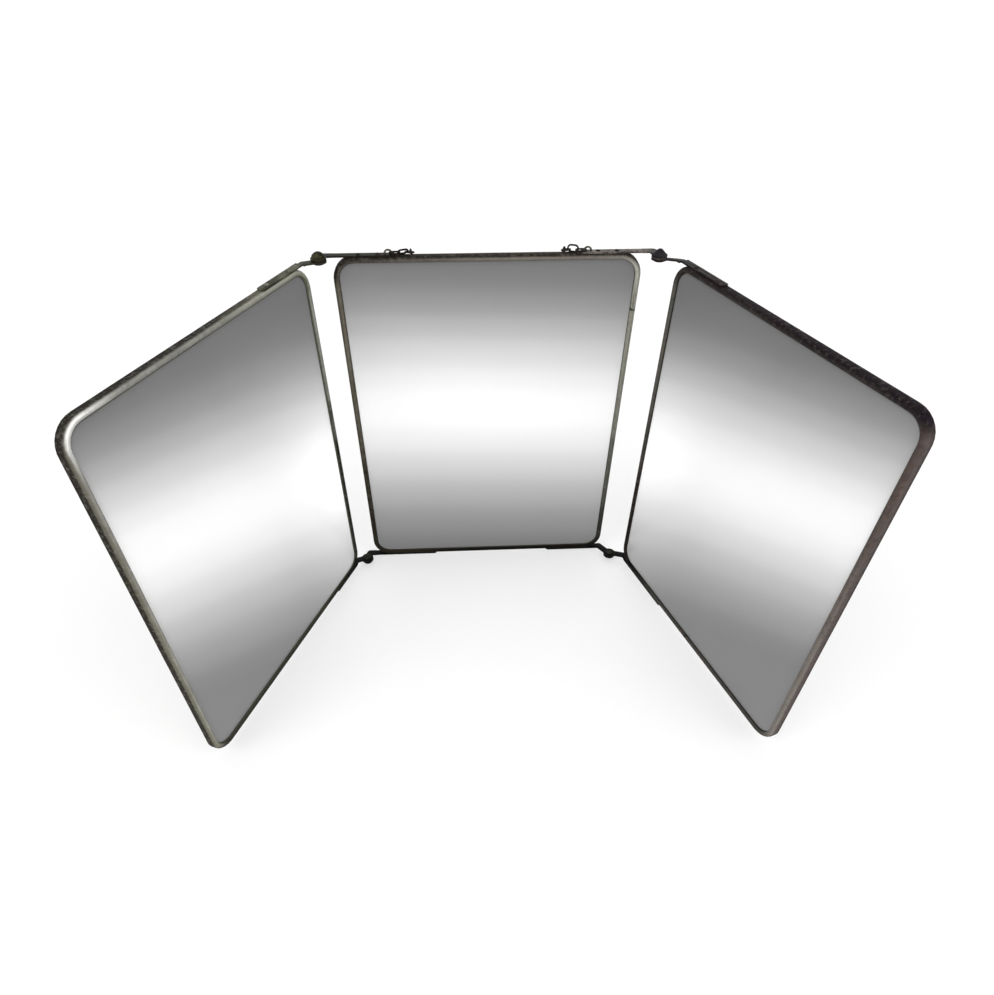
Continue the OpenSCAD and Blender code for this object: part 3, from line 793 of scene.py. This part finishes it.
def frameTree():
    graph, sizes = newTree("bentFrame", [
        ("Width", "Float"), ("Height", "Float"), ("Corner", "Float"), ("Step", "Float"),
        ("Section", "Object"), ("Wave", "Float"), ("Wave Scale", "Float"), ("Seed", "Float"),
        ("Seam Place", "Vector"), ("Seam Size", "Vector"), ("Hinge", "Vector"), ("Fold", "Vector"),
        ("Pivot", "Vector"), ("Metal", "Material")])
    edge = graph.node("GeometryNodeCurvePrimitiveQuadrilateral", inputs={
        "Width": sizes.other("Width"), "Height": sizes.other("Height")})
    edge = graph.node("GeometryNodeFilletCurve", {"mode": "POLY"}, {
        "Curve": edge, "Count": frameShape["cornerSteps"], "Radius": sizes.other("Corner")})
    edge = graph.node("GeometryNodeResampleCurve", {"mode": "LENGTH"}, {
        "Curve": edge, "Length": sizes.other("Step")})
    edge = graph.node("GeometryNodeSetCurveNormal", {"mode": "Z_UP"}, {"Curve": edge})
    section = graph.node("GeometryNodeMeshToCurve", inputs={"Mesh": meshOf(sizes, "Section")})
    body = graph.node("GeometryNodeCurveToMesh", inputs={"Curve": edge, "Profile Curve": section})
    body = graph.node("GeometryNodeFlipFaces", inputs={0: body})
    where = graph.node("GeometryNodeInputPosition")
    ripple = graph.node("ShaderNodeTexNoise", {"noise_dimensions": "4D"}, {
        "Vector": where, "W": sizes.other("Seed"), "Scale": sizes.other("Wave Scale"),
        "Detail": 2.0}, "Color")
    body = shaken(graph, body, ripple, sizes.other("Wave"))
    cutter = graph.node("GeometryNodeMeshCube", inputs={"Size": sizes.other("Seam Size")})
    cutter = graph.node("GeometryNodeTransform", inputs={
        "Geometry": cutter, "Translation": sizes.other("Seam Place")})
    body = graph.node("GeometryNodeMeshBoolean", {"operation": "DIFFERENCE"}, {0: body, 1: cutter})
    body = graph.node("GeometryNodeTransform", inputs={
        "Geometry": body, "Rotation": (-math.pi / 2, 0, 0), "Translation": sizes.other("Hinge")})
    body = graph.node("GeometryNodeTransform", inputs={
        "Geometry": body, "Rotation": sizes.other("Fold"), "Translation": sizes.other("Pivot")})
    closeTree(graph, body, sizes.other("Metal"))
    return graph


def hingeOffset(wing):
    # a panel drawn at the origin, moved so that its pivot stands there
    pivot = pivotOf(wing)
    return Vector((0, -panel["depth"], 0)) + Vector((pivot.x, -pivot.y, 0))


def makeFrames():
    section = outlineObject("beadSection", *beadSection())
    tree = frameTree()
    for number, wing in enumerate(wings):
        seamPlace, seamSize = frameShape["seams"][wing]
        made = grow(wing + "BentFrame", tree, {
            "Width": panel["width"], "Height": panel["height"], "Corner": panel["corner"],
            "Step": frameShape["stepLength"], "Section": section, "Wave": frameShape["wave"],
            "Wave Scale": frameShape["waveScale"], "Seed": frameShape["seedStep"] * number,
            "Seam Place": seamPlace, "Seam Size": seamSize, "Hinge": hingeOffset(wing),
            "Fold": (0, 0, wings[wing]["fold"]), "Pivot": pivotOf(wing),
            "Metal": finishes[wing + "Frame"]})
        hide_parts(wing + "_frame")
        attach(made, "centre_panel" if wing == "centre" else wing + "_wing")
    bpy.data.objects.remove(section)


makeFrames()
print("frames bent")


# Straps with their edges worn round

strapShape = {
    "edge": 0.22 * mm,
    "steps": 2,
    "weld": 0.001 * mm,
    # angles in degrees: edges below flat are dissolved, those over rounded get a bevel, and those over
    # sharp aren't shaded smooth
    "flat": 2,
    "rounded": 35,
    "sharp": 50,
    "names": {
        "centre_strap_top_left": "brownStrap", "centre_strap_top_right": "greyStrap",
        # the bottom straps take the near-black finish, which is painted shade
        "centre_strap_bottom_left": "blackStrap", "centre_strap_bottom_right": "blackStrap",
        "left_strap_top": "oliveStrap", "left_strap_bottom": "blackStrap",
        "right_strap_top": "umberStrap", "right_strap_bottom": "blackStrap",
    },
}


def roundStrap(name, finish):
    # the solid's own shape with its loose triangles joined and its edges rounded
    shape = bmesh.new()
    shape.from_mesh(nodes[name].data)
    bmesh.ops.remove_doubles(shape, verts=shape.verts, dist=strapShape["weld"])
    flat = math.radians(strapShape["flat"])
    bmesh.ops.dissolve_limit(shape, angle_limit=flat, verts=shape.verts, edges=shape.edges)
    data = bpy.data.meshes.new(name + "_soft")
    shape.to_mesh(data)
    shape.free()
    data.materials.append(finish)
    made = addObject(name + "_soft", data)
    bevel = made.modifiers.new("edge", "BEVEL")
    bevel.width = strapShape["edge"]
    bevel.segments = strapShape["steps"]
    bevel.limit_method = "ANGLE"
    bevel.angle_limit = math.radians(strapShape["rounded"])
    seen = made.evaluated_get(bpy.context.evaluated_depsgraph_get())
    final = bpy.data.meshes.new_from_object(seen)
    made.modifiers.clear()
    made.data = final
    final.shade_smooth()
    final.set_sharp_from_angle(angle=math.radians(strapShape["sharp"]))
    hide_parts(name)
    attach(made, nodes[name]["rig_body"])


for name, metal in strapShape["names"].items():
    roundStrap(name, finishes[metal])
print("straps rounded")


# Rivets

rivetShape = {
    "head": 1.5 * mm,
    "rise": 0.8 * mm,
    "segments": (24, 14),
    "hammered": 0.12 * mm,
    "dentScale": 900.0,
    "uneven": 0.07,
    "seed": 5,
    # the heads' height over the panel's middle, and their place in its depth
    "strapTop": 127.0 * mm,
    "strapLine": -3.1 * mm,
    "spots": {
        # side of the panel, end, distances from its edge in mm
        "centre": [(-1, 1, (17, 29)), (1, 1, (17, 29)), (-1, -1, (17, 46)), (1, -1, (17, 40))],
        "left": [(1, 1, (17, 39)), (1, -1, (17, 30))],
        "right": [(-1, 1, (17, 39)), (-1, -1, (17, 54))],
    },
}


def onPanel(wing, x, y, z):
    # a point of a panel drawn at the origin, where its wing stands
    if not wings[wing]["side"]:
        return Vector((x, y, z))
    pivot = pivotOf(wing)
    turned = Matrix.Rotation(wings[wing]["fold"], 3, "Z")
    return pivot + turned @ Vector((x + pivot.x, y - pivot.y, z))


def rivetTree():
    graph, sizes = newTree("hammeredRivets", [
        ("Places", "Object"), ("Head", "Float"), ("Rise", "Float"), ("Uneven", "Float"),
        ("Hammered", "Float"), ("Seed", "Int"), ("Metal", "Material")])
    around, up = rivetShape["segments"]
    ball = graph.node("GeometryNodeMeshUVSphere", inputs={
        "Segments": around, "Rings": up, "Radius": 1.0})
    flat = graph.node("ShaderNodeCombineXYZ", inputs={
        0: sizes.other("Head"), 1: sizes.other("Head"), 2: sizes.other("Rise")})
    ball = graph.node("GeometryNodeTransform", inputs={"Geometry": ball, "Scale": flat})
    size = graph.node("FunctionNodeRandomValue", {"data_type": "FLOAT"}, {
        2: 1 - sizes.other("Uneven"), 3: sizes.other("Uneven") + 1, "Seed": sizes.other("Seed")}, 1)
    heads = graph.node("GeometryNodeInstanceOnPoints", inputs={
        "Points": meshOf(sizes, "Places"), "Instance": ball, "Scale": size})
    heads = graph.node("GeometryNodeRealizeInstances", inputs={"Geometry": heads})
    where = graph.node("GeometryNodeInputPosition")
    dents = graph.node("ShaderNodeTexNoise", inputs={
        "Vector": where, "Scale": rivetShape["dentScale"], "Detail": 1.0}, output="Color")
    heads = shaken(graph, heads, dents, sizes.other("Hammered"))
    closeTree(graph, heads, sizes.other("Metal"))
    return graph


def makeRivets():
    tree = rivetTree()
    half, top, line = panel["width"] / 2, rivetShape["strapTop"], rivetShape["strapLine"]
    for number, (wing, rows) in enumerate(rivetShape["spots"].items()):
        points = [onPanel(wing, side * (half - spot * mm), line, end * top)
                  for side, end, spots in rows for spot in spots]
        data = bpy.data.meshes.new(wing + "RivetPlaces")
        data.from_pydata(points, [], [])
        helper = addObject(data.name, data)
        made = grow(wing + "Rivets", tree, {
            "Places": helper, "Head": rivetShape["head"], "Rise": rivetShape["rise"],
            "Uneven": rivetShape["uneven"], "Hammered": rivetShape["hammered"],
            "Seed": rivetShape["seed"] + number,
            "Metal": finishes["rivet" if wing == "left" else "darkRivet"]})
        bpy.data.objects.remove(helper)
        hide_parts(wing + "_rivets")
        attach(made, "centre_panel" if wing == "centre" else wing + "_wing")


makeRivets()
print("rivets set")


# Chain that hangs behind the centre panel

chain = {
    "links": 43,
    "wire": 0.55 * mm,
    "width": 5.0 * mm,
    "length": 7.6 * mm,
    "pitch": 5.2 * mm,
    "sag": 20.1474 * mm,
    "hangs": (0, 3.2976 * mm, 126.689 * mm),
    # degrees that a link may turn about its length
    "sway": 4.0,
    "seed": 11,
    "bendSteps": 7,
    "wireSteps": 12,
    # how much of half the width a link's corners are rounded by, just under all of it
    "bend": 0.998,
}


def chainTree():
    graph, sizes = newTree("hangingChain", [
        ("Links", "Int"), ("Wire", "Float"), ("Width", "Float"), ("Length", "Float"),
        ("Pitch", "Float"), ("Sag", "Float"), ("Hangs", "Vector"), ("Sway", "Float"),
        ("Seed", "Int"), ("Metal", "Material")])
    sag, pitch, wire = sizes.other("Sag"), sizes.other("Pitch"), sizes.other("Wire")
    half = sizes.other("Links") * pitch / 2
    index = graph.node("GeometryNodeInputIndex")

    def curve(run):
        # where the chain is at a distance run along it from its lowest point
        share = run / sag
        across = graph.math("LOGARITHM", share + (share * share + 1) ** 0.5, math.e) * sag
        down = (run * run + sag * sag) ** 0.5 - (half * half + sag * sag) ** 0.5
        return across, down

    start = index * pitch - half
    acrossA, downA = curve(start)
    acrossB, downB = curve(start + pitch)
    middle = graph.node("ShaderNodeCombineXYZ", inputs={
        0: (acrossA + acrossB) / 2, 2: (downA + downB) / 2})
    middle = graph.vector("ADD", middle, sizes.other("Hangs"))
    tilt = graph.math("ARCTAN2", downB - downA, acrossB - acrossA)
    turned = graph.math("MODULO", index, 2.0) * (math.pi / 2)
    loose = graph.node("FunctionNodeRandomValue", {"data_type": "FLOAT"}, {
        2: -sizes.other("Sway"), 3: sizes.other("Sway"), "Seed": sizes.other("Seed")}, 1)
    spin = graph.node("ShaderNodeCombineXYZ", inputs={0: turned + loose, 1: -tilt})
    points = graph.node("GeometryNodeMeshLine", inputs={"Count": sizes.other("Links")})
    points = graph.node("GeometryNodeSetPosition", inputs={"Geometry": points, "Position": middle})
    oval = graph.node("GeometryNodeCurvePrimitiveQuadrilateral", inputs={
        "Width": sizes.other("Length") - wire * 2, "Height": sizes.other("Width") - wire * 2})
    bend = (sizes.other("Width") / 2 - wire) * chain["bend"]
    oval = graph.node("GeometryNodeFilletCurve", {"mode": "POLY"}, {
        "Curve": oval, "Count": chain["bendSteps"], "Radius": bend})
    ring = graph.node("GeometryNodeCurvePrimitiveCircle", inputs={
        "Resolution": chain["wireSteps"], "Radius": wire})
    oval = graph.node("GeometryNodeCurveToMesh", inputs={"Curve": oval, "Profile Curve": ring})
    links = graph.node("GeometryNodeInstanceOnPoints", inputs={
        "Points": points, "Instance": oval, "Rotation": spin})
    closeTree(graph, links, sizes.other("Metal"))
    return graph


def makeChain():
    made = grow("hangingChain", chainTree(), {
        "Links": chain["links"], "Wire": chain["wire"], "Width": chain["width"],
        "Length": chain["length"], "Pitch": chain["pitch"], "Sag": chain["sag"],
        "Hangs": chain["hangs"], "Sway": math.radians(chain["sway"]), "Seed": chain["seed"],
        "Metal": finishes["chain"]})
    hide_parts("suspension_chain")
    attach(made, "free_chain")


makeChain()
print("chain hung")


# Knobs, turned and worn

knobShape = {
    "base": 127.05 * mm,
    "steps": 48,
    "hole": (1.55 * mm, 2.8 * mm),
    "tip": 0.01 * mm,
    # the foot up to this height and the hole up to this share of its radius stay true
    "trueFoot": 0.01 * mm,
    "trueHole": 1.02,
    "worn": 0.05 * mm,
    "wornScale": 420.0,
    # how far apart in the noise two knobs are, for each metre between them
    "wornApart": 90,
    "seed": 4,
    "sharp": 60,
    # half outlines from the foot to the tip, as distance from the axis and height in mm
    "round": [(4.45, 0.0), (4.72, 0.06), (4.88, 0.26), (4.9, 0.45), (4.84, 0.68), (4.62, 0.84),
              (4.3, 0.9), (4.0, 0.94), (3.88, 1.06), (3.93, 1.22), (4.02, 1.5), (3.97, 1.85),
              (3.78, 2.25), (3.45, 2.7), (3.0, 3.15), (2.4, 3.62), (1.7, 4.02), (0.95, 4.29),
              (0.4, 4.385)],
    "acorn": [(4.35, 0.0), (4.66, 0.08), (4.85, 0.3), (4.9, 0.55), (4.82, 0.82), (4.58, 1.05),
              (4.2, 1.3), (3.72, 1.66), (3.22, 2.12), (2.76, 2.6), (2.34, 3.06), (1.95, 3.48),
              (1.52, 3.86), (1.05, 4.14), (0.55, 4.33), (0.2, 4.39)],
    "knobs": {
        # outline, hinge, end of the pin and finish
        "knob_top_left": ("round", "left", 1, "roundKnob"),
        "knob_bottom_left": ("round", "left", -1, "blackStrap"),
        "knob_top_right": ("acorn", "right", 1, "acornKnob"),
        "knob_bottom_right": ("acorn", "right", -1, "blackStrap"),
    },
}


def lathe(name, outline, place, end):
    # spins a half outline round the upright through a place, with a blind hole in its foot
    steps = knobShape["steps"]
    holeSize, holeDepth = knobShape["hole"]
    top = outline[-1][1] * mm + knobShape["tip"]
    rings = [(holeSize, holeDepth), (holeSize, 0.0)] + [(r * mm, z * mm) for r, z in outline]
    shape = bmesh.new()
    turns = [math.tau * n / steps for n in range(steps)]
    rows = [[shape.verts.new((r * math.cos(turn), r * math.sin(turn), z)) for turn in turns]
            for r, z in rings]
    for lower, upper in zip(rows, rows[1:]):
        for n in range(steps):
            shape.faces.new((lower[n - 1], lower[n], upper[n], upper[n - 1]))
    for row, height in ((rows[0], holeDepth), (rows[-1], top)):
        middle = shape.verts.new((0, 0, height))
        for n in range(steps):
            shape.faces.new((row[n - 1], row[n], middle))
    apart = Vector(place) * knobShape["wornApart"]
    for point in shape.verts:
        wobble = noise.noise_vector(point.co * knobShape["wornScale"] + apart)
        if point.co.z > knobShape["trueFoot"] and point.co.xy.length > holeSize * knobShape["trueHole"]:
            point.co += wobble * knobShape["worn"]
        point.co.z *= end
        point.co += Vector(place)
    bmesh.ops.recalc_face_normals(shape, faces=shape.faces)
    data = bpy.data.meshes.new(name + "_turned")
    shape.to_mesh(data)
    shape.free()
    data.shade_smooth()
    data.set_sharp_from_angle(angle=math.radians(knobShape["sharp"]))
    return addObject(name + "_turned", data)


def makeKnobs():
    # without a seed this noise would start from the clock and differ from run to run
    noise.seed_set(knobShape["seed"])
    for name, (kind, wing, end, metal) in knobShape["knobs"].items():
        hinge = pivotOf(wing)
        made = lathe(name, knobShape[kind], (hinge.x, hinge.y, end * knobShape["base"]), end)
        made.data.materials.append(finishes[metal])
        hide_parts(name)
        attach(made, "centre_panel")


makeKnobs()
print("knobs turned")


# Finishes of the pieces that keep their solids

nodeFinishes = {
    # a word of the solid's name and its finish, the first that fits
    "staple": "staple",
    "links": "chain",
    "pin": "pin",
    "back_plate": "backPlate",
    "backing_card": "card",
}


def dressNodes():
    for name, piece in nodes.items():
        if piece.hide_render:
            continue
        if name.endswith("_mirror"):
            finish = finishes[name.split("_")[0] + "Mirror"]
        else:
            finish = finishes[next(metal for word, metal in nodeFinishes.items() if word in name)]
        piece.data.materials.clear()
        piece.data.materials.append(finish)


dressNodes()
print("solids dressed")
